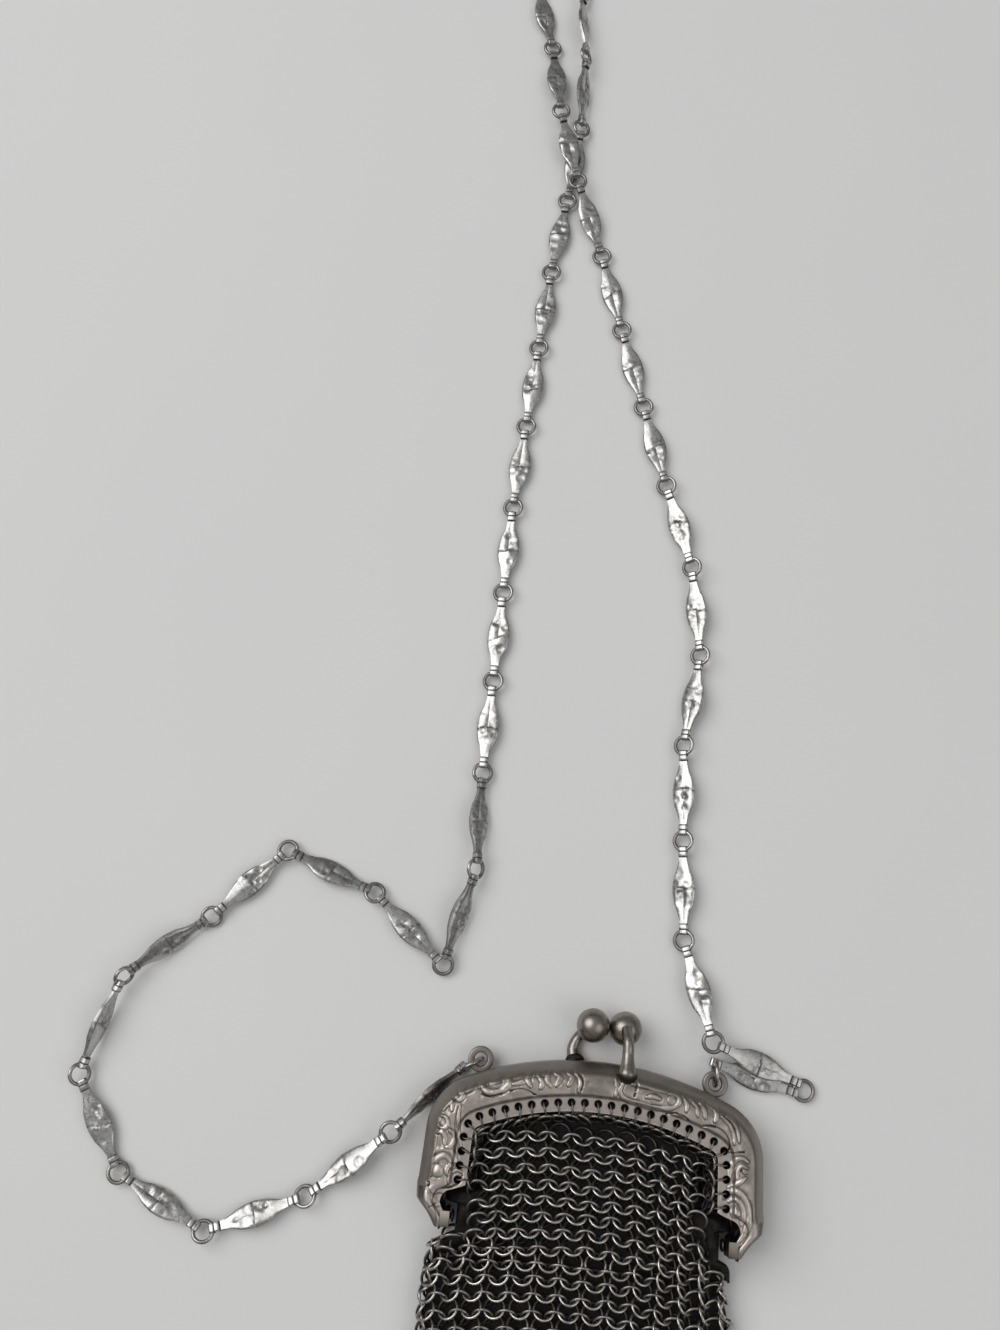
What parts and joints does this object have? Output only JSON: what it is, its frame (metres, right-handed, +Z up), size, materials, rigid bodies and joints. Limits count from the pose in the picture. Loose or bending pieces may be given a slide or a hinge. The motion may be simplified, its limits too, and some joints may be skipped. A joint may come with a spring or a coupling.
{
  "type": "metal mesh purse",
  "caption": "Small antique coin purse of linked metal rings with an arched, embossed and pierced frame, a kiss-lock of two ball knobs and a long chain of diamond strip links.",
  "frame": {"origin": "on the surface that the purse lies on, under the middle of the hinge line, on the flat back of the mesh bag", "axes": "+X to the right along the frame, +Y from the bag to the clasp, +Z up off the surface that the purse lies on"},
  "size_m": [0.1344, 0.3612, 0.0104],
  "materials": {
    "frame": "satin tarnished silver metal, bright on worn edges, dark in the grooves",
    "clasp": "smooth satin pewter grey metal",
    "rivet": "dark oxidised metal",
    "mesh": "dark gunmetal rings with bright worn crowns",
    "chain": "bright silver plate, hammered facets, dark in the folds"
  },
  "bodies": {
    "root": {"frame_front": "frame", "frame_back": "frame", "clasp_knob_front": "clasp", "clasp_knob_back": "clasp", "hinge_rivet_left": "rivet", "hinge_rivet_right": "rivet", "mesh_bag": "mesh", "shoulder_chain": "chain"}
  },
  "joints": []
}
